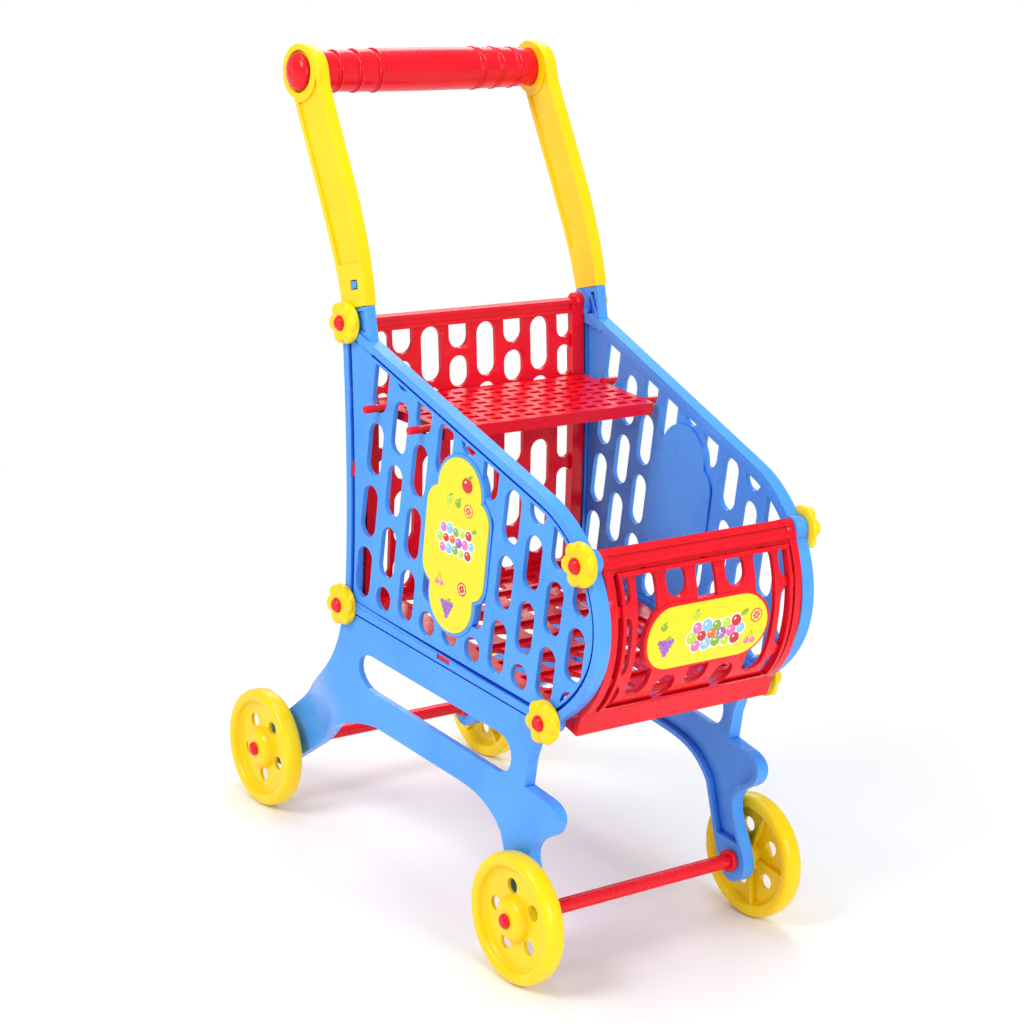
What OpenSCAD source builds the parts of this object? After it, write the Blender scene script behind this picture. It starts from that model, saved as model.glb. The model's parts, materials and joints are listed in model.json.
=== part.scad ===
// Child's toy shopping cart.
// Two moulded side frames carry a lattice basket, a lift-up doll shelf, a push handle and four wheels.
// +X is the front of the cart, +Y its left side, +Z up; the origin is on the floor midway between the axles.

/* [Wheels] */
// wheel outside diameter
wheel_d = 80; // [60:1:110]
// tyre width
wheel_w = 13; // [9:0.5:20]
// distance between the front and rear axles
wheelbase = 291.4; // [240:0.1:340]
// distance between the middle planes of a pair of wheels
track = 184; // [176:1:220]
// lightening holes in each wheel
wheel_holes = 5; // [3:1:8]
// how far each front wheel is turned at rest
front_turn = 32; // [0:1:72]
// how far each rear wheel is turned at rest
rear_turn = 58; // [0:1:72]
// radial clearance of a wheel on its axle
wheel_fit = 0.08; // [0.01:0.01:0.1]

/* [Side frames] */
// clear width between the two side frames at the middle of the cart
inner_w = 164.8; // [150:0.1:200]
// toe-in of each side frame, so the basket narrows to the front
toe = 3.2; // [0:0.1:6]
// depth of the rim of a side frame
frame_t = 8.5; // [6:0.1:14]
// width of the raised rim
rim_w = 5; // [3:0.1:8]
// width of the groove inside the rim
groove_w = 2.4; // [1:0.1:4]
// thickness of the lattice web
web_t = 3.2; // [2:0.1:5]
// slope of the basket bottom and slot rows, nose down
bottom_slope = 2.83; // [0:0.01:6]
// forward lean of the slot columns
column_lean = 4.2; // [0:0.1:8]
// distance between slot columns
column_pitch = 22.4; // [18:0.1:30]
// distance between slot rows
row_pitch = 40.5; // [30:0.1:60]
// width of a lattice slot
slot_w = 15; // [8:0.1:20]
// height of a lattice slot
slot_h = 33.5; // [20:0.1:50]
// how far the rear feet step inwards to clear the wheels
rear_step = 18.2; // [0:0.1:24]

/* [Handle] */
// inward lean of each upright above its joint
handle_lean = 2.3; // [0:0.1:5]
// grip axis distance behind the origin
grip_x = -133.5; // [-160:0.1:-80]
// grip axis height
grip_z = 496.2; // [400:0.1:560]
// grip diameter at its ends
grip_end_d = 24; // [18:0.5:32]
// grip diameter in the middle
grip_mid_d = 27.5; // [18:0.5:36]
// radius of the eye at the top of an upright
eye_r = 17; // [14:0.1:24]

/* [Basket panels] */
// sheet thickness of the red panels
panel_t = 3; // [2:0.1:5]
// gap between a red panel and the side frames
panel_gap = 0.3; // [0.1:0.05:1]
// distance between the slot columns of the back panel
back_pitch = 21.3; // [16:0.1:30]
// distance between the slot columns of the front panel
front_pitch = 22; // [16:0.1:30]

/* [Shelf] */
// height of the shelf's top face
shelf_z = 306.5; // [280:0.5:320]
// front edge of the shelf
shelf_front = 28; // [10:0.5:60]
// rear edge of the shelf
shelf_rear = -49; // [-56:0.5:-30]
// height of the band along the front edge of the shelf
shelf_band = 7.5; // [4:0.5:12]
// how far a shelf hook stands out of the side frame
hook_out = 9; // [4:0.5:12]
// radius of a shelf hook
hook_r = 2.4; // [1.5:0.1:3.5]
// clearance under a shelf hook at rest
hook_rest = 0.3; // [0.2:0.1:1]

/* [Fasteners] */
// outside radius of a flower nut
nut_r = 13.6; // [10:0.1:18]
// thickness of a flower nut
nut_t = 6.5; // [3:0.1:8]
// petals of a flower nut
nut_petals = 6; // [5:1:8]
// radius of the pegs on the red panels
peg_r = 4.5; // [3:0.1:6]

/* [Hidden] */
$fn = 64;
blue = [0.33, 0.62, 1.0];
red = [0.90, 0.10, 0.17];
yellow = [1.0, 0.88, 0.10];
wheel_r = wheel_d / 2;
axle_x = wheelbase / 2;
half_in = inner_w / 2;
toe_tan = tan(toe);
slope_tan = tan(bottom_slope);
lean_tan = tan(handle_lean);
fit_gap = 0.05;
big = 400;
journal_r = 4;
rod_r = 4.5;
hub_out = 8.3;
hub_play = 0.35;
hub_face = track / 2 + hub_out + hub_play;

// ----- curves of the side frame, as [x, z] points in its own plane -----

function bez(a, b, c, d, n = 12) = [
    for (i = [0 : n - 1])
        let (t = i / n, u = 1 - t)
        a * u * u * u + b * 3 * u * u * t + c * 3 * u * t * t + d * t * t * t
];

function bottom_z(x) = 167.9 - slope_tan * x;
function top_z(x) = 333.4 - 0.302 * x;

rear_foot = [-52.5, bottom_z(-52.5)];
rear_top = [-68.5, top_z(-68.5)];
nose_start = [132, top_z(132)];
nose_tip = [188.2, 221];
nose_foot = [150, bottom_z(150)];

rear_curve = bez(rear_foot, [-52.3, 225], [-59, 290], rear_top, 14);
nose_curve = concat(
    bez(nose_start, [160, top_z(160)], [188.2, 257], nose_tip, 16),
    bez(nose_tip, [188.2, 196], [172, 176], nose_foot, 14)
);
basket_points = concat(rear_curve, [rear_top, nose_start], nose_curve, [nose_foot]);

joint_mid = [-57, 363];
joint_lean = 17;
joint_dir = [cos(joint_lean), sin(joint_lean)];
stub_half = 12;

arch_rear = bez([-98.8, 57], [-75, 77], [-52, 98], [-14, 101.8], 14);
arch_front = bez([72, 98.3], [92, 97.3], [104, 92], [113.7, 80.7], 10);
leg_rear_edge = bez([-54, 172], [-56, 150], [-62, 130], [-81, 114.5], 10);
leg_nose = concat(
    bez([157.8, 44], [153, 56], [137, 72], [143.2, 82.5], 10),
    bez([143.2, 82.5], [148, 92], [160, 91], [163, 103], 10),
    bez([163, 103], [164.5, 112], [155, 114.6], [147, 114.8], 8)
);
leg_points = concat(
    leg_rear_edge,
    [[-81, 114.5], [-100, 100], [-155.6, 51.3], [-135.8, 28.7]],
    arch_rear,
    [[-14, 101.8], [72, 98.3]],
    arch_front,
    [[113.7, 80.7], [126, 50.3], [132.6, 36]],
    [[157.8, 44]],
    leg_nose,
    [[147, 114.8], [132.5, 116.5], [134, 134], [138, 147], nose_foot + [-1, 4], [-50, 178]]
);
leg_slot_points = concat(
    bez([-18, 124], [-38, 125], [-42, 146.9], [-22, 147], 10),
    [[-22, 147], [106, 141.8]],
    bez([106, 141.8], [123, 141], [123, 118], [108, 117.2], 10),
    [[108, 117.2]]
);

// middle of the latch in the upright's window
latch_mid = [-58.6, 376.8];
// radius of the end cap's seat and of the grip's stem
seat_r = 13.2;
stem_r = 7;
// radius of the bosses round the pegs
boss_r = 7.6;

// peg positions: top rear, bottom rear, front top, front bottom
peg_points = [[-62.5, 353], [-52.7, 172.8], [169.5, 264.6], [148, 163.2]];

// ----- placing helpers -----

module plate(d0, d1) {
    translate([0, -d0, 0])
    rotate([90, 0, 0])
    linear_extrude(height = d1 - d0)
    children();
}

module right_frame() {
    translate([0, -half_in, 0])
    rotate([0, 0, toe])
    children();
}

module left_frame() {
    mirror([0, 1, 0])
    right_frame()
    children();
}

module both_frames() {
    right_frame() children();
    left_frame() children();
}

// leans its children inwards above the joint of the handle
module leaned() {
    translate([0, 0, joint_mid[1]])
    rotate([-handle_lean, 0, 0])
    translate([0, 0, -joint_mid[1]])
    children();
}

// the space between the side frames, less a gap, as a prism
module between(gap) {
    x0 = -90;
    x1 = 200;
    y0 = half_in - toe_tan * x0 - gap;
    y1 = half_in - toe_tan * x1 - gap;
    linear_extrude(height = 400)
    polygon([[x0, -y0], [x1, -y1], [x1, y1], [x0, y0]]);
}

// cylinder along +Y from y0 to y1 at x, z
module bar(x, z, y0, y1, r) {
    translate([x, y0, z])
    rotate([-90, 0, 0])
    cylinder(h = y1 - y0, r = r);
}

module stadium(w, h) {
    translate([0, (h - w) / 2]) circle(d = w, $fn = 40);
    translate([0, -(h - w) / 2]) circle(d = w, $fn = 40);
    square([w, h - w], center = true);
}

// ----- side frame -----

first_column = -32.5;
column_count = 10;
row_base = 199;

function column_x(c, z) = first_column + c * column_pitch + (z - 240) * tan(column_lean);
function row_z(c, r) =
    row_base + (r + (c % 2 == 0 ? 0 : 0.5)) * row_pitch - slope_tan * (column_x(c, 240) + 30);

module slot_at(x, z, h) {
    translate([x, z]) rotate(-column_lean) stadium(slot_w, h);
}

module lattice_slots() {
    for (c = [0 : column_count - 1]) {
        for (r = [0 : 3]) {
            z = row_z(c, r);
            slot_at(column_x(c, z), z, slot_h);
        }
        if (c % 2 == 1) {
            z = row_z(c, -0.76);
            slot_at(column_x(c, z), z, slot_w - 1);
        }
    }
}

badge_mid = [55.4, 242.4];

module badge_shape(grow) {
    translate(badge_mid)
    rotate(-2.5) {
        stadium(41 + 2 * grow, 109 + 2 * grow);
        translate([0, 2])
        offset(r = 13 + grow, $fn = 32)
        square([59 - 26, 62 - 26], center = true);
    }
}

module basket_shape() {
    polygon(basket_points);
}

module basket_inset(d) {
    offset(delta = -d) basket_shape();
}

module stub_shape() {
    polygon([
        rear_top + [0.3, -3],
        joint_mid - stub_half * joint_dir,
        joint_mid + stub_half * joint_dir,
        [-39.5, top_z(-39.5) - 0.5],
        [-37, top_z(-37) - 7],
        [-60, 340]
    ]);
}

module leg_shape() {
    difference() {
        union() {
            polygon(leg_points);
            translate([axle_x, 39]) circle(r = 13);
        }
        polygon(leg_slot_points);
    }
}

module tongue_shape(grow) {
    translate(joint_mid)
    rotate(joint_lean)
    translate([-8.5 - grow, -1])
    square([17 + 2 * grow, 25 + grow]);
}

// radius about the rear axle where the step of the rear foot ends
step_end = 118;

// the round step of the rear foot, about the rear axle
module rear_step_ring() {
    steps = 10;
    r0 = 44;
    r1 = step_end - 3;
    curve = [for (i = [0 : steps]) let (k = i / steps)
        [r0 + (r1 - r0) * k, -rear_step * (1 + cos(180 * k)) / 2]];
    inner = concat([[0, -rear_step]], curve, [[step_end + 5, 0]]);
    outer = [for (i = [len(inner) - 1 : -1 : 0]) inner[i] + [0, frame_t - 0.3]];
    translate([-axle_x, 0, wheel_r])
    rotate([90, 0, 0])
    rotate_extrude($fn = 96)
    polygon(concat(inner, outer));
}

module legs() {
    // flat part, with a pocket moulded in from the inner face
    difference() {
        plate(0, frame_t - 0.3)
        difference() {
            leg_shape();
            translate([-axle_x, wheel_r]) circle(r = step_end, $fn = 96);
        }
        plate(-1, 4.3)
        intersection() {
            offset(delta = -3) polygon(leg_points);
            union() {
                translate([-56, 62]) square([230, bottom_z(150) - 3 - 62]);
                translate([100, 52]) square([60, 60]);
            }
        }
        // shallow relief for the hub of the front wheel
        plate(frame_t - 2.6, frame_t + 1)
        translate([axle_x, wheel_r]) circle(r = 12);
    }
    // rear foot, stepped inwards
    intersection() {
        rear_step_ring();
        plate(-30, 30)
        union() {
            leg_shape();
            translate([-axle_x, wheel_r]) circle(r = 15);
        }
    }
}

module side_frame() {
    difference() {
        union() {
            plate(0, frame_t) difference() {
                basket_shape();
                basket_inset(rim_w);
            }
            plate(2, frame_t - 3.8) difference() {
                basket_inset(rim_w - 0.5);
                basket_inset(rim_w + groove_w + 2);
            }
            plate(frame_t - 1.1 - web_t, frame_t - 1.1) difference() {
                basket_inset(rim_w + groove_w);
                intersection() {
                    lattice_slots();
                    basket_inset(rim_w + groove_w + 1.8);
                }
            }
            plate(2.8, frame_t - 0.4) badge_shape(2.2);
            plate(0.8, frame_t - 1.3) stub_shape();
            leaned() {
                plate(2.2, 6.2) tongue_shape(0);
                plate(6, frame_t) translate(latch_mid) rotate(joint_lean) square([5, 4.4], center = true);
            }
            plate(0, frame_t) for (p = peg_points) translate(p) circle(r = boss_r);
            legs();
        }
        // pocket in the outer face of the stub
        plate(frame_t - 2.4, frame_t + 1) polygon([[-53, 350.5], [-55.5, 361], [-48.5, 363], [-45, 350]]);
        // pocket in the inner face of the stub, with a diagonal rib
        plate(-1, 3.8) difference() {
            polygon([[-53.4, 360.4], [-48.4, 361.8], [-42.8, 349], [-53.4, 346]]);
            translate([-48.5, 354]) rotate(-52) square([24, 2], center = true);
        }
        // line between the basket rim and the legs
        plate(frame_t - 1.4, frame_t + 1) translate([49, bottom_z(49) - 0.7])
        rotate(-bottom_slope) square([180, 1.2], center = true);
        // slots for the tabs of the floor and the back panel
        plate(-1, frame_t + 1) translate([50, bottom_z(50) + 3.6])
        rotate(-bottom_slope) square([12.6, 3.4], center = true);
        plate(-1, frame_t + 1) translate([-50.8, 262]) square([3.5, 9.6], center = true);
        // peg bores
        for (p = peg_points)
        translate([p[0], 1, p[1]])
        rotate([90, 0, 0])
        cylinder(h = frame_t + 2, r = peg_r + 0.1);
        // axle bores, square to the cart
        frame_bores();
    }
}

module frame_bores() {
    rotate([0, 0, -toe])
    translate([0, half_in, 0])
    for (x = [-axle_x, axle_x]) bar(x, wheel_r, -130, -40, journal_r + fit_gap);
}

module side_right() {
    color(blue) right_frame() side_frame();
}

module side_left() {
    color(blue) left_frame() side_frame();
}

// ----- push handle -----

eye_z = joint_mid[1] + (grip_z - joint_mid[1]) / cos(handle_lean);
spine_end = [grip_x + 6, eye_z - 3];
spine_curve = bez(joint_mid, joint_mid + 42 * [-0.27, 0.963], [grip_x + 33, 446], spine_end, 14);
spine = concat(spine_curve, [spine_end]);
spine_n = len(spine);
function spine_dir(i) = let (d = spine[min(i + 1, spine_n - 1)] - spine[max(i - 1, 0)]) d / norm(d);
function spine_half(i) = 12 + 2.2 * min(1, 2.5 * i / spine_n);
function spine_side(i, s) = spine[i] + s * spine_half(i) * [spine_dir(i)[1], -spine_dir(i)[0]];

// the eye is two circles; the front edge of the upright runs on to touch the second one
eye_mid = [grip_x, eye_z];
eye_front = eye_mid + [5, -0.7];
eye_front_r = eye_r - 0.5;
function touch_point(p, c, r) =
    let (d = p - c, a = atan2(d[1], d[0]) + acos(r / norm(d)))
    c + r * [cos(a), sin(a)];

module upright_shape() {
    last = spine_n - 2;
    polygon(concat(
        [joint_mid + stub_half * joint_dir],
        [for (i = [1 : last]) spine_side(i, 1)],
        [touch_point(spine_side(last, 1), eye_front, eye_front_r), eye_mid],
        [for (i = [last + 1 : -1 : 1]) spine_side(i, -1)],
        [joint_mid - stub_half * joint_dir]
    ));
    translate(eye_mid) circle(r = eye_r);
    translate(eye_front) circle(r = eye_front_r);
}

module upright() {
    difference() {
        leaned()
        difference() {
            plate(0, frame_t) upright_shape();
            // recessed outer and inner faces between the borders
            for (d = [[frame_t - 1.6, frame_t + 1], [-1, 1.2]])
            plate(d[0], d[1]) difference() {
                offset(delta = -3.2) upright_shape();
                translate(eye_mid) circle(r = eye_r + 2);
                translate(joint_mid) rotate(joint_lean) translate([-30, -10]) square([60, 37]);
            }
            // socket for the stub tongue, and its window
            plate(2, 6.4) tongue_shape(0.2);
            plate(5, frame_t + 1) translate(latch_mid) rotate(joint_lean) square([7, 6], center = true);
            // seat for the end cap
            plate(frame_t - 3, frame_t + 1) translate(eye_mid) circle(r = seat_r);
        }
        // bore for the grip and seat for its barrel, square to the cart
        rotate([0, 0, -toe])
        translate([0, half_in, 0]) {
            bar(grip_x, grip_z, -130, -40, stem_r + fit_gap);
            bar(grip_x, grip_z, -grip_half - 0.2, -40, grip_end_d / 2 + 0.3);
        }
    }
}

module upright_right() {
    color(yellow) right_frame() upright();
}

module upright_left() {
    color(yellow) left_frame() upright();
}

// inner and seat faces of the eyes, measured along the grip axis
function eye_face(dx, dz) = half_in - toe_tan * (grip_x + dx) - lean_tan * (grip_z + dz - joint_mid[1]);
eye_in = eye_face(grip_end_d / 2, grip_end_d / 2);
eye_seat = eye_face(-seat_r, -seat_r) + (frame_t - 3) / cos(toe) / cos(handle_lean);
grip_half = eye_in + 2.8;

// radius of the barrel at y: a slow swell; three beads with grooves stand near each end
function barrel_r(y) = grip_end_d / 2 + (grip_mid_d - grip_end_d) / 2 * pow(cos(90 * y / grip_half), 0.7);

module grip() {
    ring_y = [for (d = [16.5, 31, 46]) grip_half - d];
    color(red)
    translate([grip_x, 0, grip_z])
    rotate([-90, 0, 0])
    difference() {
        union() {
            rotate_extrude()
            difference() {
                union() {
                    polygon(concat(
                        [[0, -grip_half], [grip_end_d / 2 - 1, -grip_half]],
                        [for (i = [-19 : 19]) let (y = i / 19 * (grip_half - 1)) [barrel_r(y), y]],
                        [[grip_end_d / 2 - 1, grip_half], [0, grip_half]]
                    ));
                    for (s = [-1, 1], y = ring_y)
                    translate([barrel_r(y) - 0.45, s * (y - 1.9)])
                    circle(r = 1.2, $fn = 20);
                }
                for (s = [-1, 1], y = ring_y)
                translate([barrel_r(y) + 0.6, s * y])
                circle(r = 1.5, $fn = 20);
            }
            translate([0, 0, -eye_seat]) cylinder(h = 2 * eye_seat, r = stem_r);
        }
        for (s = [-1, 1]) translate([0, 0, s * (eye_seat - 6.5)]) cylinder(h = 15, r = 3.5, center = true);
    }
}

// red domed cap with a stem pressed into the end of the grip
module end_cap() {
    dome_r = 11.6;
    dome_h = 5.2;
    color(red)
    translate([grip_x, 0, grip_z])
    rotate([90, 0, 0])
    translate([0, 0, eye_seat + 0.1])
    rotate_extrude()
    polygon(concat(
        [[0, -12], [3.45, -12], [3.45, 0], [dome_r, 0], [dome_r, 1.6]],
        [for (a = [10 : 10 : 70]) [dome_r * cos(a), 1.6 + dome_h * sin(a)]],
        [[2.8, 1.5 + dome_h], [1.7, 0.9 + dome_h], [0, 0.7 + dome_h]]
    ));
}

module cap_right() {
    end_cap();
}

module cap_left() {
    mirror([0, 1, 0]) end_cap();
}

// ----- red basket panels -----

// pegs of a red panel, standing out through the side frames
module pegs(points) {
    both_frames()
    for (p = points)
    translate([p[0], 6, p[1]])
    rotate([90, 0, 0]) {
        cylinder(h = 6 + frame_t + nut_t + 0.4, r = peg_r);
        translate([0, 0, 6 + frame_t + nut_t + 0.4]) cylinder(h = 1.2, r1 = peg_r, r2 = peg_r - 1.1);
        cylinder(h = 6 - panel_gap, r = 5.6);
    }
}

back_curve = bez([-45.5, 173.5], [-45.3, 225], [-50.5, 290], [-61.3, 355], 14);
back_end = [-61.3, 355];

function shifted(points, d) = [for (p = points) p + d];
function reversed(points) = [for (i = [len(points) - 1 : -1 : 0]) points[i]];

// a wall that follows a curve of the side view, from one side frame to the other
module curved_wall(points, depth, y_half = big / 2) {
    rotate([90, 0, 0])
    translate([0, 0, -y_half])
    linear_extrude(height = 2 * y_half)
    polygon(concat(points, reversed(shifted(points, depth))));
}

// slot rows of the back panel, as [middle height, length]
tall_rows = [[328.5, 34.5], [290, 35], [248, 35], [206, 35]];
short_rows = [[346, 31], [316, 20], [274, 46], [227, 35], [191, 22]];
back_shift = -2;

module back_slots() {
    for (c = [0 : 7]) {
        side = c == 0 ? -1 : c == 7 ? 1 : 0;
        y = (c - 3.5) * back_pitch - side * 3.5 + (side == 0 ? back_shift : 0);
        for (row = c % 2 == 0 ? tall_rows : short_rows)
        translate([-90, y, row[0]])
        rotate([90, 0, 90])
        linear_extrude(height = 70)
        stadium(side == 0 ? slot_w : slot_w - 3.5, row[1]);
    }
}

module back_panel() {
    wall = concat(back_curve, [back_end]);
    color(red)
    union() {
        intersection() {
            union() {
                difference() {
                    curved_wall(wall, [-panel_t, 0]);
                    back_slots();
                }
                // frame along both sides and along the bottom
                for (s = [-1, 1])
                intersection() {
                    curved_wall(shifted(wall, [2.6, 0]), [-6.4, 0]);
                    translate([0, s * 81.5, 260]) cube([120, 11, 260], center = true);
                }
                intersection() {
                    curved_wall(shifted(wall, [1.6, 0]), [-5.4, 0]);
                    translate([0, 0, 176.5]) cube([160, big, 8], center = true);
                }
                // top band with two ridges
                intersection() {
                    curved_wall(shifted(wall, [1.6, 0]), [-5.4, 0]);
                    translate([0, 0, 351.8]) cube([160, big, 8.4], center = true);
                }
                intersection() {
                    curved_wall(shifted(wall, [2.8, 0]), [-7.6, 0]);
                    union() {
                        translate([0, 0, 354]) cube([160, big, 2.6], center = true);
                        translate([0, 0, 347.6]) cube([160, big, 2.2], center = true);
                    }
                }
            }
            between(panel_gap);
        }
        // tabs through the rear rim
        both_frames() plate(-4, frame_t - 1.2) translate([-50.8, 262]) square([3, 9], center = true);
        pegs([peg_points[0], peg_points[1]]);
    }
}

front_out = concat(
    bez([169.3, 271.5], [179, 259], [186.2, 243], [186.2, 221], 12),
    bez([186.2, 221], [186.2, 198], [177.4, 181], [166, 170], 12),
    [[166, 170]]
);
front_in = [for (i = [len(front_out) - 1 : -1 : 0])
    let (a = front_out[max(i - 1, 0)], b = front_out[min(i + 1, len(front_out) - 1)])
    let (d = (b - a) / norm(b - a))
    front_out[i] + panel_t * [d[1], -d[0]]];

// raised border: distance from the sides, width, lowest and highest point
border_in = 8.5;
border_w = 2.2;
border_z = [174, 259.5];

module front_wall(grow_out, grow_in) {
    rotate([90, 0, 0])
    translate([0, 0, -big / 2])
    linear_extrude(height = big)
    polygon(concat(shifted(front_out, [grow_out, 0]), shifted(front_in, [-grow_in, 0])));
}

module front_slots() {
    for (c = [-3 : 3]) {
        odd = c % 2 != 0;
        narrow = abs(c) == 3 ? 4 : 0;
        rows = odd ? [[250, 18], [217, 38], [184.5, 17]] : [[221, 78]];
        for (row = rows)
        translate([140, c * front_pitch - sign(c) * narrow, row[0]])
        rotate([90, 0, 90])
        linear_extrude(height = 70)
        stadium(slot_w - narrow * 0.5, row[1]);
    }
}

badge_front = [90, 38];

module front_badge_shape(grow) {
    translate([0, 217.5])
    rotate(90)
    stadium(badge_front[1] + 2 * grow, badge_front[0] + 2 * grow);
}

module front_panel() {
    color(red)
    union() {
        intersection() {
            union() {
                difference() {
                    front_wall(0, 0);
                    front_slots();
                }
                // solid pad for the badge
                intersection() {
                    front_wall(0.9, 0);
                    translate([140, 0, 0])
                    rotate([90, 0, 90])
                    linear_extrude(height = 70)
                    front_badge_shape(2);
                }
                // raised frame
                intersection() {
                    front_wall(0.8, 2.4);
                    for (s = [-1, 1]) translate([170, s * 73.5, 220]) cube([60, 14, 110], center = true);
                }
                intersection() {
                    front_wall(0.8, 1.4);
                    translate([170, 0, 267]) cube([60, big, 12], center = true);
                }
                // two ridges along the top and one above the lip
                intersection() {
                    front_wall(2, 0);
                    union() {
                        translate([170, 0, 270]) cube([60, big, 3], center = true);
                        translate([170, 0, 263.5]) cube([60, big, 2.4], center = true);
                    }
                }
                // raised border inside the frame
                intersection() {
                    front_wall(2.2, 0);
                    translate([0, 0, border_z[0]]) linear_extrude(height = border_z[1] - border_z[0])
                    square([2 * big, big], center = true);
                    difference() {
                        between(border_in);
                        difference() {
                            between(border_in + border_w);
                            for (z = [border_z[0] - 1, border_z[1] - border_w])
                            translate([150, 0, z + (border_w + 1) / 2])
                            cube([120, big, border_w + 1], center = true);
                        }
                    }
                }
                // flat lip, turned back under the basket
                rotate([90, 0, 0])
                translate([0, 0, -big / 2])
                linear_extrude(height = big)
                polygon([[167.5, 171.5], [164.6, 158.2], [146, 163.4], [146, 165.4], [161.5, 161.6], [163, 169.5]]);
            }
            between(panel_gap);
        }
        pegs([peg_points[2], peg_points[3]]);
        // corner webs that carry the pegs
        intersection() {
            union() {
                both_frames() plate(-6, -panel_gap) polygon([[164, 258], [164, 268], [172, 266], [178, 257]]);
                both_frames()
                plate(-6, -panel_gap)
                polygon([[146, 161.6], [142, 166], [150, 170], [163, 168.5], [161, 162.4]]);
            }
            between(panel_gap);
        }
    }
}

// ----- floor -----

floor_x0 = -42.5;
floor_x1 = 140;
floor_up = 3.6;

module sloped(x) {
    translate([x, 0, bottom_z(x) + floor_up])
    rotate([0, bottom_slope, 0])
    children();
}

module floor_panel() {
    span = floor_x1 - floor_x0;
    color(red)
    union() {
        intersection() {
            between(panel_gap);
            sloped((floor_x0 + floor_x1) / 2)
            difference() {
                union() {
                    cube([span, big, panel_t], center = true);
                    // edge frame and cross ribs
                    difference() {
                        translate([0, 0, 1]) cube([span, big, panel_t + 2], center = true);
                        translate([0, 0, 1]) cube([span - 8, 130, big], center = true);
                    }
                    for (i = [-3 : 3])
                    translate([i * 23.5, 0, 1])
                    cube([2.4, big, panel_t + 2], center = true);
                }
                for (i = [-4 : 3], j = [-3 : 2])
                translate([(i + 0.5) * 23.5, (j + 0.5) * 21, 0])
                linear_extrude(height = 20, center = true)
                rotate(90) stadium(12, 16);
            }
        }
        both_frames() plate(-4, frame_t - 1) translate([50, bottom_z(50) + floor_up])
        rotate(-bottom_slope) square([12, 2.9], center = true);
    }
}

// ----- lift-up shelf -----

// columns whose top slots carry the hooks
hook_columns = [0, 2];
hook_back = 1;
hook_rise = slot_w / 2 - sqrt(pow(slot_w / 2, 2) - pow(hook_back, 2));

// lowest point of the top slot in column c
function slot_foot(c) =
    let (z = row_z(c, 3), d = (slot_h - slot_w) / 2)
    [column_x(c, z) - d * sin(column_lean), z - d * cos(column_lean) - slot_w / 2];

module shelf() {
    span = shelf_front - shelf_rear;
    mid = (shelf_front + shelf_rear) / 2;
    color(red)
    union() {
        intersection() {
            between(0.8);
            union() {
                difference() {
                    translate([mid, 0, shelf_z - 1.4]) cube([span, big, 2.8], center = true);
                    for (i = [0 : 7], j = [-6 : 6])
                    translate([shelf_rear + 9 + i * 8.6, j * 12, shelf_z])
                    cube([4.6, 8, 12], center = true);
                }
                // ribs under the deck
                for (i = [0 : 4])
                translate([shelf_rear + 4.7 + i * 17.2, 0, shelf_z - 2.6])
                cube([2.2, big, 5.2], center = true);
                // band along the front edge and a lower one at the rear
                translate([shelf_front - 1.5, 0, shelf_z - shelf_band / 2])
                cube([3, big, shelf_band], center = true);
                translate([shelf_rear + 1.2, 0, shelf_z - 2.6]) cube([2.4, big, 5.2], center = true);
                both_frames() plate(-3.4, -0.8) translate([shelf_rear, shelf_z - 5.6]) square([span, 5.6]);
            }
        }
        // hooks that rest on the bottoms of the slots
        both_frames()
        for (c = hook_columns)
        plate(-2, frame_t + hook_out)
        translate(slot_foot(c) + [-hook_back, hook_rise + hook_rest + hook_r])
        circle(r = hook_r, $fn = 32);
    }
}

// ----- wheels and axles -----

// rounded section of the tyre, from the inner face of the web round to the outer one
tyre_mid = 35.6;
tyre_half = wheel_r - tyre_mid;
function tyre_point(a) =
    [
        tyre_mid + tyre_half * sign(cos(a)) * pow(abs(cos(a)), 0.65),
        wheel_w / 2 * sign(sin(a)) * pow(abs(sin(a)), 0.7)
    ];

// domed outer side of the hub, standing on the web
hub_base = 14;
hub_top = 7.2;
web_out = 1.5;
web_in = 1;
function hub_point(a) = [hub_top + (hub_base - hub_top) * cos(a), web_out + (hub_out - web_out) * sin(a)];

module wheel(phase) {
    hole_c = 19.6;
    hole_r = 4.8;
    hub_in = 10.2;
    color(yellow)
    rotate([90, 0, 0])
    difference() {
        union() {
            rotate_extrude($fn = 96)
            polygon(concat(
                [[journal_r - 1, -hub_in], [8, -hub_in], [9.4, -web_in - 0.6], [12, -web_in], [29.5, -web_in]],
                [for (a = [-160 : 20 : 160]) tyre_point(a)],
                [[29.5, web_out], [hub_base + 0.5, web_out]],
                [for (a = [12 : 13 : 77]) hub_point(a)],
                [[hub_top, hub_out], [journal_r - 1, hub_out]]
            ));
            // ribs on the inner side of the web
            for (i = [0 : wheel_holes - 1])
            rotate((i + 0.5) * 360 / wheel_holes + phase)
            translate([7, -1, -4.6])
            cube([25.4, 2, 4.2]);
        }
        for (i = [0 : wheel_holes - 1])
        rotate(i * 360 / wheel_holes + phase)
        translate([hole_c, 0, -10])
        cylinder(h = 20, r = hole_r);
        translate([0, 0, -12]) cylinder(h = 24, r = journal_r + wheel_fit);
    }
}

module place_wheel(sx, sy) {
    translate([sx * axle_x, sy * track / 2, wheel_r])
    mirror([0, sy > 0 ? 1 : 0, 0])
    children();
}

module wheel_front_right() { place_wheel(1, -1) wheel(front_turn); }
module wheel_front_left() { place_wheel(1, 1) wheel(front_turn); }
module wheel_rear_right() { place_wheel(-1, -1) wheel(rear_turn); }
module wheel_rear_left() { place_wheel(-1, 1) wheel(rear_turn); }

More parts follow.
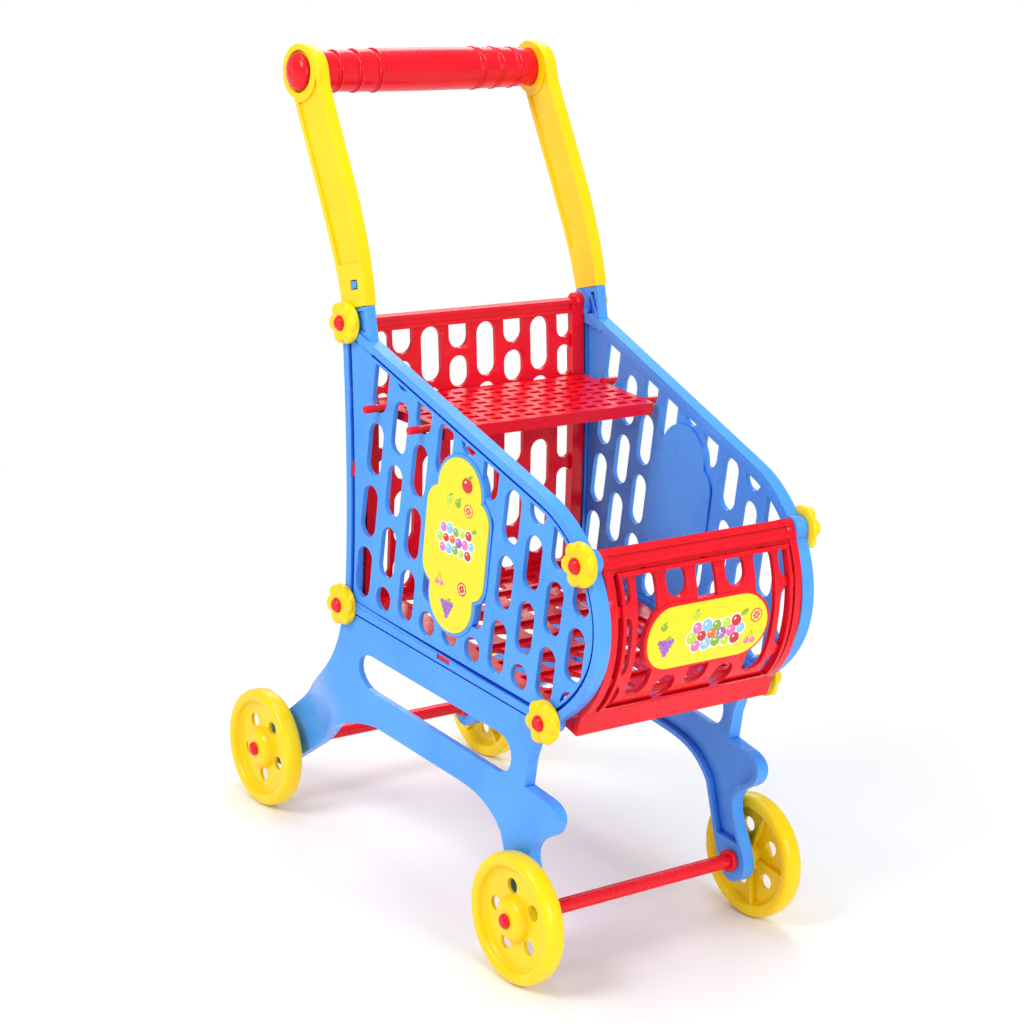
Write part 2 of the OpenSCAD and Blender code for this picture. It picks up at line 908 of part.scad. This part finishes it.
// span is half the cross-ribbed length between the feet
module axle(x, span) {
    color(red)
    translate([x, 0, wheel_r])
    rotate([-90, 0, 0])
    difference() {
        union() {
            for (a = [0, 90]) rotate(a + 45) cube([2.4, 2 * rod_r, 2 * span], center = true);
            cylinder(h = 2 * span, r = rod_r - 1.5, center = true);
            cylinder(h = 2 * hub_face, r = journal_r, center = true);
            for (s = [-1, 1]) translate([0, 0, s * (span - 1.6)]) cylinder(h = 3.2, r = 7.2, center = true);
        }
        for (s = [-1, 1]) translate([0, 0, s * hub_face]) cylinder(h = 20, r = 2, center = true);
    }
}

front_span = half_in - toe_tan * axle_x - 1.2;
rear_span = half_in + toe_tan * axle_x - rear_step - 1.2;

module axle_front() {
    axle(axle_x, front_span);
}

module axle_rear() {
    axle(-axle_x, rear_span);
}

module axle_cap() {
    color(red)
    rotate([90, 0, 0])
    rotate_extrude()
    polygon([[0, -9], [1.95, -9], [1.95, 0], [4.6, 0], [4.6, 0.8], [4, 1.9], [2.5, 2.7], [0, 3]]);
}

module place_cap(sx, sy) {
    translate([sx * axle_x, 0, wheel_r])
    mirror([0, sy > 0 ? 1 : 0, 0])
    translate([0, -hub_face - 0.05, 0])
    axle_cap();
}

module cap_front_right() { place_cap(1, -1); }
module cap_front_left() { place_cap(1, 1); }
module cap_rear_right() { place_cap(-1, -1); }
module cap_rear_left() { place_cap(-1, 1); }

// ----- flower nuts and badges -----

module flower_nut(p) {
    petal_r = 5.5;
    color(yellow)
    translate([p[0], -frame_t - 0.05, p[1]])
    rotate([90, 0, 0])
    difference() {
        union() {
            linear_extrude(height = nut_t - 1.3) {
                circle(r = nut_r - petal_r + 1.6);
                for (i = [0 : nut_petals - 1])
                rotate(i * 360 / nut_petals + 12)
                translate([nut_r - petal_r, 0])
                circle(r = petal_r, $fn = 40);
            }
            cylinder(h = nut_t, r1 = 9.6, r2 = 7.4);
            for (i = [0 : nut_petals - 1])
            rotate(i * 360 / nut_petals + 12)
            translate([nut_r - petal_r, 0, 0])
            cylinder(h = nut_t - 0.4, r1 = petal_r, r2 = petal_r - 1.9, $fn = 40);
        }
        translate([0, 0, -1]) cylinder(h = nut_t + 2, r = peg_r + fit_gap);
    }
}

module nut_right_1() { right_frame() flower_nut(peg_points[0]); }
module nut_right_2() { right_frame() flower_nut(peg_points[1]); }
module nut_right_3() { right_frame() flower_nut(peg_points[2]); }
module nut_right_4() { right_frame() flower_nut(peg_points[3]); }
module nut_left_1() { left_frame() flower_nut(peg_points[0]); }
module nut_left_2() { left_frame() flower_nut(peg_points[1]); }
module nut_left_3() { left_frame() flower_nut(peg_points[2]); }
module nut_left_4() { left_frame() flower_nut(peg_points[3]); }

module badge_side() {
    color(yellow) plate(frame_t - 0.4, frame_t + 0.3) badge_shape(0);
}

module badge_right() {
    right_frame() badge_side();
}

module badge_left() {
    left_frame() badge_side();
}

module badge_nose() {
    color(yellow)
    difference() {
        intersection() {
            front_wall(1.6, 0);
            translate([140, 0, 0]) rotate([90, 0, 90]) linear_extrude(height = 70) front_badge_shape(0);
        }
        front_wall(0.9, 20);
    }
}

side_right();
side_left();
upright_right();
upright_left();
grip();
cap_right();
cap_left();
back_panel();
front_panel();
floor_panel();
shelf();
wheel_front_right();
wheel_front_left();
wheel_rear_right();
wheel_rear_left();
axle_front();
axle_rear();
cap_front_right();
cap_front_left();
cap_rear_right();
cap_rear_left();
nut_right_1();
nut_right_2();
nut_right_3();
nut_right_4();
nut_left_1();
nut_left_2();
nut_left_3();
nut_left_4();
badge_right();
badge_left();
badge_nose();
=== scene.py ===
import json
import math

import bmesh
import bpy
from mathutils import Matrix, Vector


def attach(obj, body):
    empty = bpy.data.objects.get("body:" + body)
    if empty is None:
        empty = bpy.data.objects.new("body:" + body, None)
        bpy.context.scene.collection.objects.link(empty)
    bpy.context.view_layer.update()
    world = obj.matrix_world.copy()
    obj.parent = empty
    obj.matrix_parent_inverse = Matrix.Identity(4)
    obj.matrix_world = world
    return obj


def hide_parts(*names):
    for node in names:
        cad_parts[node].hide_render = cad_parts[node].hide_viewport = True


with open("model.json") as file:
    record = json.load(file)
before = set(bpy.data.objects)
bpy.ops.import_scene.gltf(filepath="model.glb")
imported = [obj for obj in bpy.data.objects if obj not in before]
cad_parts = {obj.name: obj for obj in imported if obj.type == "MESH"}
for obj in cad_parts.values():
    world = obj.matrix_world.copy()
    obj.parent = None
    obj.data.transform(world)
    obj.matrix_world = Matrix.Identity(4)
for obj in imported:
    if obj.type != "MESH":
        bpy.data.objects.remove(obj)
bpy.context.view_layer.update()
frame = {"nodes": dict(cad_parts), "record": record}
scene = bpy.context.scene
MM = 0.001

# ----- main sizes, in millimetres, as in the CAD -----
HALF_IN = 82.4
TOE = math.radians(3.2)
FRAME_T = 8.5
BADGE_OUT = 0.3
TOE_COS = math.cos(TOE)
TOE_SIN = math.sin(TOE)


def side_point(u, v, depth, side):
    """A point of a side frame's own plane, in metres: u forwards, v up, depth outwards."""
    x = u * TOE_COS + depth * TOE_SIN
    y = -HALF_IN + u * TOE_SIN - depth * TOE_COS
    return Vector((x * MM, side * y * MM, v * MM))


# ----- materials -----

PLASTIC_IOR = 1.49
PLASTIC_SPECULAR = 0.34
# reach of the painted groove shade and of the paler edges, in metres
PAINTED_SHADE_REACH = 3.5 * MM
EDGE_REACH = 0.5 * MM


class Nodes:
    """Short calls for building a node tree."""

    def __init__(self, name):
        self.mat = bpy.data.materials.new(name)
        self.mat.use_nodes = True
        self.tree = self.mat.node_tree
        self.tree.nodes.clear()
        self.out = self.add("ShaderNodeOutputMaterial")
        self.shader = self.add("ShaderNodeBsdfPrincipled")
        self.link(self.shader.outputs["BSDF"], self.out.inputs["Surface"])
        self.coord = self.add("ShaderNodeTexCoord").outputs["Object"]

    def add(self, kind):
        return self.tree.nodes.new(kind)

    def link(self, a, b):
        self.tree.links.new(a, b)

    def noise(self, scale, detail=2.0, rough=0.5):
        n = self.add("ShaderNodeTexNoise")
        n.inputs["Scale"].default_value = scale
        n.inputs["Detail"].default_value = detail
        n.inputs["Roughness"].default_value = rough
        self.link(self.coord, n.inputs["Vector"])
        return n.outputs["Fac"]

    def remap(self, value, lo, hi, to_lo, to_hi):
        n = self.add("ShaderNodeMapRange")
        n.inputs["From Min"].default_value = lo
        n.inputs["From Max"].default_value = hi
        n.inputs["To Min"].default_value = to_lo
        n.inputs["To Max"].default_value = to_hi
        self.link(value, n.inputs["Value"])
        return n.outputs["Result"]

    def mix(self, fac, a, b):
        n = self.add("ShaderNodeMix")
        n.data_type = "RGBA"
        self.link(fac, n.inputs["Factor"])
        for socket, c in ((n.inputs["A"], a), (n.inputs["B"], b)):
            if isinstance(c, tuple):
                socket.default_value = (*c, 1)
            else:
                self.link(c, socket)
        return n.outputs["Result"]

    def painted_shade_mask(self, distance):
        """Mask for painted shade: 0 on open faces, rising towards 1 in grooves and tight corners, where shade
        falls.
        """
        shut = self.add("ShaderNodeAmbientOcclusion")
        shut.samples = 8
        shut.only_local = True
        shut.inputs["Distance"].default_value = distance
        return self.remap(shut.outputs["AO"], 0.80, 0.35, 0.0, 1.0)

    def edge(self, radius):
        """0 on flat faces, rising towards 1 on sharp edges."""
        bevel = self.add("ShaderNodeBevel")
        bevel.samples = 8
        bevel.inputs["Radius"].default_value = radius
        geo = self.add("ShaderNodeNewGeometry")
        dot = self.add("ShaderNodeVectorMath")
        dot.operation = "DOT_PRODUCT"
        self.link(bevel.outputs["Normal"], dot.inputs[0])
        self.link(geo.outputs["Normal"], dot.inputs[1])
        return self.remap(dot.outputs["Value"], 0.995, 0.80, 0.0, 1.0)

    def bump(self, height, strength, distance, normal=None):
        n = self.add("ShaderNodeBump")
        n.inputs["Strength"].default_value = strength
        n.inputs["Distance"].default_value = distance
        self.link(height, n.inputs["Height"])
        if normal is not None:
            self.link(normal, n.inputs["Normal"])
        return n.outputs["Normal"]


def moulded(name, base, deep, worn, shade, rough=0.24):
    """Injection-moulded plastic: slow colour flow, painted shade in grooves and tight corners, slightly paler
    edges, faint waves.
    """
    n = Nodes(name)
    flow = n.remap(n.noise(16, 3, 0.55), 0.36, 0.64, 0.0, 1.0)
    patchy = n.remap(n.noise(35, 2, 0.5), 0.40, 0.66, 0.10, 0.32)
    fac = n.add("ShaderNodeMath")
    fac.operation = "MULTIPLY"
    n.link(n.edge(EDGE_REACH), fac.inputs[0])
    n.link(patchy, fac.inputs[1])
    body = n.mix(fac.outputs["Value"], n.mix(flow, deep, base), worn)
    # painted shade: the colour is pulled towards the shade colour in grooves and tight corners
    n.link(n.mix(n.painted_shade_mask(PAINTED_SHADE_REACH), body, shade), n.shader.inputs["Base Color"])
    gloss = n.remap(n.noise(120, 3, 0.6), 0.35, 0.65, rough - 0.03, rough + 0.06)
    n.link(gloss, n.shader.inputs["Roughness"])
    wave = n.bump(n.noise(45, 1, 0.4), 0.14, 0.0006)
    n.link(n.bump(n.noise(260, 2, 0.5), 0.06, 0.0002, wave), n.shader.inputs["Normal"])
    n.shader.inputs["IOR"].default_value = PLASTIC_IOR
    n.shader.inputs["Specular IOR Level"].default_value = PLASTIC_SPECULAR
    return n.mat


def printed(name, base, deep, rough=0.35):
    """Printed film: slight ink mottle over a smooth face."""
    n = Nodes(name)
    ink = n.remap(n.noise(260, 3, 0.6), 0.35, 0.65, 0.0, 1.0)
    n.link(n.mix(ink, deep, base), n.shader.inputs["Base Color"])
    n.link(n.remap(ink, 0, 1, rough - 0.03, rough + 0.05), n.shader.inputs["Roughness"])
    n.link(n.bump(n.noise(900, 1, 0.5), 0.05, 0.0001), n.shader.inputs["Normal"])
    return n.mat


# each plastic's shade colour is painted shade, laid into its grooves and tight corners
BLUE = moulded(
    "blue_plastic", base=(0.085, 0.375, 1.0), deep=(0.066, 0.320, 0.96),
    worn=(0.20, 0.56, 1.0), shade=(0.008, 0.075, 0.62))
RED = moulded(
    "red_plastic", base=(0.86, 0.004, 0.018), deep=(0.78, 0.003, 0.013),
    worn=(0.95, 0.06, 0.07), shade=(0.50, 0.0, 0.006))
YELLOW = moulded(
    "yellow_plastic", base=(1.0, 0.71, 0.003), deep=(0.98, 0.64, 0.002),
    worn=(1.0, 0.86, 0.10), shade=(0.90, 0.50, 0.002))
FILM = printed("badge_film", (0.97, 0.80, 0.012), (0.94, 0.75, 0.008))
PRINT = {
    "red": printed("print_red", (0.72, 0.035, 0.025), (0.62, 0.02, 0.02)),
    "orange": printed("print_orange", (0.88, 0.20, 0.012), (0.80, 0.15, 0.01)),
    "green": printed("print_green", (0.30, 0.52, 0.03), (0.22, 0.44, 0.02)),
    "lime": printed("print_lime", (0.60, 0.76, 0.04), (0.52, 0.70, 0.03)),
    "purple": printed("print_purple", (0.40, 0.16, 0.58), (0.32, 0.11, 0.50)),
    "pink": printed("print_pink", (0.82, 0.22, 0.50), (0.75, 0.16, 0.42)),
    "sky": printed("print_sky", (0.30, 0.62, 0.85), (0.24, 0.54, 0.80)),
    "cream": printed("print_cream", (1.0, 0.90, 0.50), (0.97, 0.86, 0.42)),
    "white": printed("print_white", (0.98, 0.97, 0.93), (0.94, 0.93, 0.88)),
}
PRINT_NAMES = list(PRINT)
SLOT_MATERIAL = {"blue_plastic": BLUE, "red_plastic": RED, "yellow_plastic": YELLOW, "badge": FILM}


# ----- CAD nodes: rounded edges and finish -----


def soften(obj, width, angle=28.0):
    """Rounds a CAD node's edges with modifiers, leaving its own mesh unchanged."""
    weld = obj.modifiers.new("weld", "WELD")
    weld.merge_threshold = 1e-5
    flat = obj.modifiers.new("flat", "DECIMATE")
    flat.decimate_type = "DISSOLVE"
    flat.angle_limit = math.radians(0.4)
    bevel = obj.modifiers.new("round", "BEVEL")
    bevel.width = width
    bevel.segments = 2
    bevel.limit_method = "ANGLE"
    bevel.angle_limit = math.radians(angle)
    bevel.harden_normals = True
    bevel.use_clamp_overlap = True


EDGE_ROUND = {"side": 0.45, "upright": 0.7, "wheel": 0.4, "badge": 0.1}
for part in frame["record"]["subparts"]:
    node = frame["nodes"][part["node"]]
    node.data.materials.clear()
    node.data.materials.append(SLOT_MATERIAL[part["material_slot"]])
    soften(node, EDGE_ROUND.get(part["node"].split("_")[0], 0.35) * MM)


# ----- badge prints: generic fruit, each a thin raised layer -----

PRINT_STEP = 0.05 * MM


def placed(cu, cv, x, y, turn):
    """An outline point (x, y), turned about the shape's own middle and moved to (cu, cv)."""
    c, s = math.cos(turn), math.sin(turn)
    return (cu + x * c - y * s, cv + x * s + y * c)


def oval(cu, cv, ru, rv=None, turn=0.0, count=28):
    rv = ru if rv is None else rv
    angles = [2 * math.pi * i / count for i in range(count)]
    return [placed(cu, cv, ru * math.cos(a), rv * math.sin(a), turn) for a in angles]


def leaf(cu, cv, length, width, turn, count=9):
    points = []
    for side in (1, -1):
        for i in range(count):
            t = i / count
            x = (t if side > 0 else 1 - t) * length
            y = side * width / 2 * max(0.0, math.sin(math.pi * x / length)) ** 0.8
            points.append(placed(cu, cv, x, y, turn))
    return points


def stalk(a, b, width=0.5):
    """A thin straight stalk from point a to point b."""
    d = Vector((b[0] - a[0], b[1] - a[1])).normalized() * width / 2
    return [
        (a[0] + d.y, a[1] - d.x), (b[0] + d.y, b[1] - d.x),
        (b[0] - d.y, b[1] + d.x), (a[0] - d.y, a[1] + d.x)]


def apple(cu, cv, r, colour):
    return [
        (oval(cu, cv, r, r * 0.92), colour, 1),
        (oval(cu - r * 0.35, cv + r * 0.35, r * 0.22, r * 0.14, 0.7), "cream", 2),
        (leaf(cu, cv + r * 0.8, r * 1.1, r * 0.5, 0.5), "green", 2),
    ]


def orange_slice(cu, cv, r, colour="orange"):
    shapes = [(oval(cu, cv, r), colour, 1), (oval(cu, cv, r * 0.78), "cream", 2)]
    for i in range(6):
        a = math.pi / 3 * i
        foot = placed(cu, cv, 0.1 * r, 0.0, a)
        shapes.append((leaf(*foot, r * 0.6, r * 0.42, a), colour, 3))
    return shapes


def grapes(cu, cv, r):
    shapes = []
    for row, count in enumerate((4, 3, 2, 1)):
        for i in range(count):
            u = cu + (i - (count - 1) / 2) * 1.7 * r
            v = cv + (1.5 - row) * 1.5 * r
            shapes.append((oval(u, v, r, count=18), "purple", 1 + (i + row) % 2))
            shapes.append((oval(u - r * 0.3, v + r * 0.3, r * 0.25, count=10), "pink", 3))
    shapes.append((leaf(cu, cv + 3.0 * r, r * 2.4, r * 1.2, 0.5), "green", 2))
    return shapes


def cherries(cu, cv, r):
    top = (cu + r * 0.2, cv + r * 3.2)
    shapes = []
    for side in (-1, 1):
        shapes.append((stalk((cu + side * r * 1.15, cv + r * 0.6), top, r * 0.25), "green", 1))
        shapes.append((oval(cu + side * r * 1.15, cv, r), "pink", 2))
        shapes.append((oval(cu + side * r * 1.15 - r * 0.3, cv + r * 0.3, r * 0.22, count=10), "cream", 3))
    return shapes


BERRY_ROWS = (5, 6, 5)
BERRY_COLOURS = ("pink", "orange", "lime", "sky", "purple", "red", "green")


def berry_heap(cu, cv, width, height):
    """A heap of plain round berries on a pale ground, in place of a printed name."""
    pitch = width / max(BERRY_ROWS)
    shapes = []
    k = 0
    for row, count in enumerate(BERRY_ROWS):
        for i in range(count):
            u = cu + (i - (count - 1) / 2) * pitch
            v = cv + (1 - row) * height / 3 + 0.5 * math.sin(2.1 * k)
            r = pitch * (0.46 + 0.05 * math.sin(1.7 * k))
            lift = 0.08 * (k % 4)
            shapes.append((oval(u, v, r * 1.32, r * 1.28, count=20), "white", 0.6 + lift))
            colour = BERRY_COLOURS[(3 * k + row) % len(BERRY_COLOURS)]
            shapes.append((oval(u, v, r, r * 1.06, 0.3 * k, 20), colour, 1.6 + lift))
            shapes.append((oval(u - r * 0.3, v + r * 0.35, r * 0.26, r * 0.17, 0.6, 10), "white", 2.6 + lift))
            k += 1
    shapes.append((leaf(cu + 0.4 * width, cv + 0.5 * height, 0.16 * width, 0.07 * width, 0.5), "green", 2.6))
    return shapes


def print_piece(name, shapes, place):
    """Builds the shapes as thin solids standing on the badge; place(u, v, height) gives a point in metres."""
    mesh = bpy.data.meshes.new(name)
    bm = bmesh.new()
    for outline, colour, layer in shapes:
        low = [bm.verts.new(place(u, v, 0.0)) for u, v in outline]
        high = [bm.verts.new(place(u, v, PRINT_STEP * layer)) for u, v in outline]
        count = len(outline)
        faces = [bm.faces.new(high), bm.faces.new(low[::-1])]
        for i in range(count):
            j = (i + 1) % count
            faces.append(bm.faces.new((low[i], low[j], high[j], high[i])))
        for face in faces:
            face.material_index = PRINT_NAMES.index(colour)
    bmesh.ops.triangulate(bm, faces=[f for f in bm.faces if len(f.verts) > 4])
    bmesh.ops.recalc_face_normals(bm, faces=bm.faces)
    bm.to_mesh(mesh)
    bm.free()
    for key in PRINT_NAMES:
        mesh.materials.append(PRINT[key])
    obj = bpy.data.objects.new(name, mesh)
    scene.collection.objects.link(obj)
    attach(obj, "frame")
    return obj


def side_art():
    shapes = apple(64, 282, 5.0, "red") + apple(48, 269.5, 3.2, "lime") + apple(56.5, 269, 2.9, "green")
    shapes += orange_slice(66.5, 267, 4.2) + berry_heap(56.0, 245.5, 36, 18) + cherries(42.5, 216.5, 1.9)
    shapes += orange_slice(64.5, 218, 4.2, "red") + grapes(51, 201.5, 1.75)
    return shapes


def bez(a, b, c, d, count=24):
    points = []
    for i in range(count + 1):
        t = i / count
        u = 1 - t
        points.append(tuple(
            p * u ** 3 + q * 3 * u * u * t + r * 3 * u * t * t + s * t ** 3 for p, q, r, s in zip(a, b, c, d)))
    return points


NOSE_OUT = bez((169.3, 271.5), (179, 259), (186.2, 243), (186.2, 221)) \
    + bez((186.2, 221), (186.2, 198), (177.4, 181), (166, 170))
NOSE_GROW = 1.6


def nose_x(z):
    """Outer face of the front panel at height z, in millimetres."""
    for (x0, z0), (x1, z1) in zip(NOSE_OUT, NOSE_OUT[1:]):
        if z1 <= z <= z0 and z0 > z1:
            return x0 + (x1 - x0) * (z0 - z) / (z0 - z1)
    return NOSE_OUT[0][0]


def nose_point(u, v, height):
    """A point on the nose badge: u across, v up in millimetres, height off the film in metres."""
    return Vector(((nose_x(v) + NOSE_GROW) * MM + height, u * MM, v * MM))


def nose_art():
    shapes = grapes(-31.5, 212.5, 1.7) + berry_heap(6, 216.0, 44, 16) + orange_slice(36, 222.5, 4.4)
    shapes += cherries(33, 207, 2.0) + apple(-10, 229, 2.8, "lime") + apple(-33.5, 225.5, 2.4, "green")
    return shapes


for side_name, side_sign in (("right", 1), ("left", -1)):
    print_piece(
        f"badge_print_{side_name}", side_art(),
        lambda u, v, h, k=side_sign: side_point(u, v, FRAME_T + BADGE_OUT + h / MM, k))
print_piece("badge_print_nose", nose_art(), nose_point)


# ----- flower nuts: domed petals on a round base, one mesh for each peg -----

NUT_PEGS = ((-62.5, 353.0), (-52.7, 172.8), (169.5, 264.6), (148.0, 163.2))
NUT_PETALS = 6
NUT_TURN = math.radians(12)
NUT_BASE_R = 13.2
NUT_BORE_R = 4.55
PETAL_OUT = 8.1
PETAL_R = 5.5
NUT_STEPS = 96
# each ring: height, share of the outline, flower share of the outline, dip between petals
NUT_RINGS = (
    (0.1, 0.96, 0.0, 0.0), (0.5, 0.99, 0.0, 0.0), (1.5, 1.0, 0.0, 0.0), (2.3, 0.985, 0.15, 0.0),
    (2.9, 0.985, 0.6, 0.1), (3.6, 1.0, 1.0, 0.2), (4.5, 0.975, 1.0, 0.35), (5.3, 0.92, 1.0, 0.6),
    (5.9, 0.84, 1.0, 0.9), (6.3, 0.75, 1.0, 1.0), (6.5, 0.66, 0.9, 0.9), (6.45, 0.57, 0.7, 0.6),
    (6.2, 0.49, 0.4, 0.3), (6.15, 0.42, 0.1, 0.1),
)
NUT_BORE = ((6.05, 0.2), (5.7, 0.0), (0.1, 0.0))


def nut_outline(angle, share):
    """Outline radius at an angle: a circle for share 0, six petals for share 1."""
    part = 2 * math.pi / NUT_PETALS
    off = (angle + part / 2) % part - part / 2
    petal = PETAL_OUT * math.cos(off) + math.sqrt(PETAL_R ** 2 - (PETAL_OUT * math.sin(off)) ** 2)
    return (1 - share) * NUT_BASE_R + share * petal


def nut_point(peg, side, angle, radius, height):
    turned = angle + NUT_TURN
    u = peg[0] + radius * math.cos(turned)
    v = peg[1] + radius * math.sin(turned)
    return side_point(u, v, FRAME_T + height, side)


def flower_nut(name, peg, side):
    bm = bmesh.new()
    rings = []
    for height, scale, share, dip in NUT_RINGS:
        ring = []
        for i in range(NUT_STEPS):
            angle = 2 * math.pi * i / NUT_STEPS
            valley = ((1 - math.cos(NUT_PETALS * angle)) / 2) ** 1.5
            radius = scale * nut_outline(angle, share)
            ring.append(bm.verts.new(nut_point(peg, side, angle, radius, height - dip * valley)))
        rings.append(ring)
    for height, grow in NUT_BORE:
        angles = [2 * math.pi * i / NUT_STEPS for i in range(NUT_STEPS)]
        rings.append([bm.verts.new(nut_point(peg, side, a, NUT_BORE_R + grow, height)) for a in angles])
    for low, high in zip(rings, rings[1:] + rings[:1]):
        for i in range(NUT_STEPS):
            j = (i + 1) % NUT_STEPS
            face = bm.faces.new((low[i], low[j], high[j], high[i]))
            face.smooth = True
    bmesh.ops.recalc_face_normals(bm, faces=bm.faces)
    mesh = bpy.data.meshes.new(name)
    bm.to_mesh(mesh)
    bm.free()
    mesh.materials.append(YELLOW)
    obj = bpy.data.objects.new(name, mesh)
    scene.collection.objects.link(obj)
    return obj


for side_name, side_sign in (("right", 1), ("left", -1)):
    for number, peg in enumerate(NUT_PEGS, 1):
        nut = flower_nut(f"flower_nut_{side_name}_{number}", peg, side_sign)
        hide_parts(f"nut_{side_name}_{number}")
        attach(nut, "frame")


# ----- stage, light and camera -----

# the floor turns from paint to plain white between these distances from the middle, in metres
FLOOR_NEAR = 0.25
FLOOR_FAR = 0.95
FLOOR_HALF = 6.0


def make_floor():
    mesh = bpy.data.meshes.new("floor")
    bm = bmesh.new()
    bmesh.ops.create_grid(bm, x_segments=8, y_segments=8, size=FLOOR_HALF)
    bm.to_mesh(mesh)
    bm.free()
    floor = bpy.data.objects.new("floor", mesh)
    scene.collection.objects.link(floor)
    n = Nodes("floor_paint")
    n.link(n.mix(n.noise(3, 2), (0.90, 0.90, 0.90), (0.92, 0.92, 0.92)), n.shader.inputs["Base Color"])
    n.shader.inputs["Roughness"].default_value = 0.85
    n.shader.inputs["Specular IOR Level"].default_value = 0.1
    glow = n.add("ShaderNodeEmission")
    blend = n.add("ShaderNodeMixShader")
    far = n.add("ShaderNodeVectorMath")
    far.operation = "LENGTH"
    n.link(n.coord, far.inputs[0])
    n.link(n.remap(far.outputs["Value"], FLOOR_NEAR, FLOOR_FAR, 0.0, 1.0), blend.inputs["Fac"])
    n.link(n.shader.outputs["BSDF"], blend.inputs[1])
    n.link(glow.outputs["Emission"], blend.inputs[2])
    n.link(blend.outputs["Shader"], n.out.inputs["Surface"])
    mesh.materials.append(n.mat)


def area_light(name, at, target, size, power):
    light = bpy.data.lights.new(name, "AREA")
    light.size = size
    light.energy = power
    obj = bpy.data.objects.new(name, light)
    obj.location = at
    obj.rotation_mode = "QUATERNION"
    obj.rotation_quaternion = (Vector(target) - Vector(at)).to_track_quat("-Z", "Y")
    scene.collection.objects.link(obj)


# camera: lens and sensor width in millimetres, angles, distance and shifts in metres
CAM_LENS = 85.3488
CAM_AZ = math.radians(53.08)
CAM_EL = math.radians(17.0)
CAM_ROLL = math.radians(3.71)
CAM_DIST = 1.6014
CAM_SIDE = 0.0103
CAM_RISE = 0.2255
SENSOR = 36


def make_camera():
    back = Vector((math.sin(CAM_AZ) * math.cos(CAM_EL), -math.cos(CAM_AZ) * math.cos(CAM_EL), math.sin(CAM_EL)))
    right = Vector((math.cos(CAM_AZ), math.sin(CAM_AZ), 0))
    up = back.cross(right)
    right2 = math.cos(CAM_ROLL) * right + math.sin(CAM_ROLL) * up
    up2 = -math.sin(CAM_ROLL) * right + math.cos(CAM_ROLL) * up
    data = bpy.data.cameras.new("camera")
    data.sensor_width = SENSOR
    data.lens = CAM_LENS
    cam = bpy.data.objects.new("camera", data)
    rotation = Matrix((right2, up2, back)).transposed().to_4x4()
    place = back * CAM_DIST + right2 * CAM_SIDE + up2 * CAM_RISE
    cam.matrix_world = Matrix.Translation(place) @ rotation
    scene.collection.objects.link(cam)
    scene.camera = cam


make_floor()
make_camera()
MIDDLE = (0.0, 0.0, 0.22)
# name, place in metres, size in metres, power in watts
LIGHTS = (
    ("key", (0.1, -1.7, 1.7), 0.9, 25),
    ("front", (2.0, 0.1, 1.0), 0.9, 19),
    ("top", (-0.3, 0.1, 2.4), 1.2, 17),
    ("rear", (-1.7, 1.1, 1.5), 1.1, 12),
)
for light_name, light_at, light_size, light_power in LIGHTS:
    area_light(light_name, light_at, MIDDLE, light_size, light_power)


WORLD_FILL = 0.52


def make_world():
    """White to the camera, softer as a fill light."""
    world = bpy.data.worlds.new("studio")
    world.use_nodes = True
    tree = world.node_tree
    fill = tree.nodes["Background"]
    fill.inputs["Color"].default_value = (0.96, 0.98, 1.0, 1)
    fill.inputs["Strength"].default_value = WORLD_FILL
    seen = tree.nodes.new("ShaderNodeBackground")
    seen.inputs["Color"].default_value = (1, 1, 1, 1)
    path = tree.nodes.new("ShaderNodeLightPath")
    mix = tree.nodes.new("ShaderNodeMixShader")
    tree.links.new(path.outputs["Is Camera Ray"], mix.inputs["Fac"])
    tree.links.new(fill.outputs["Background"], mix.inputs[1])
    tree.links.new(seen.outputs["Background"], mix.inputs[2])
    tree.links.new(mix.outputs["Shader"], tree.nodes["World Output"].inputs["Surface"])
    scene.world = world


make_world()
scene.view_settings.view_transform = "Standard"
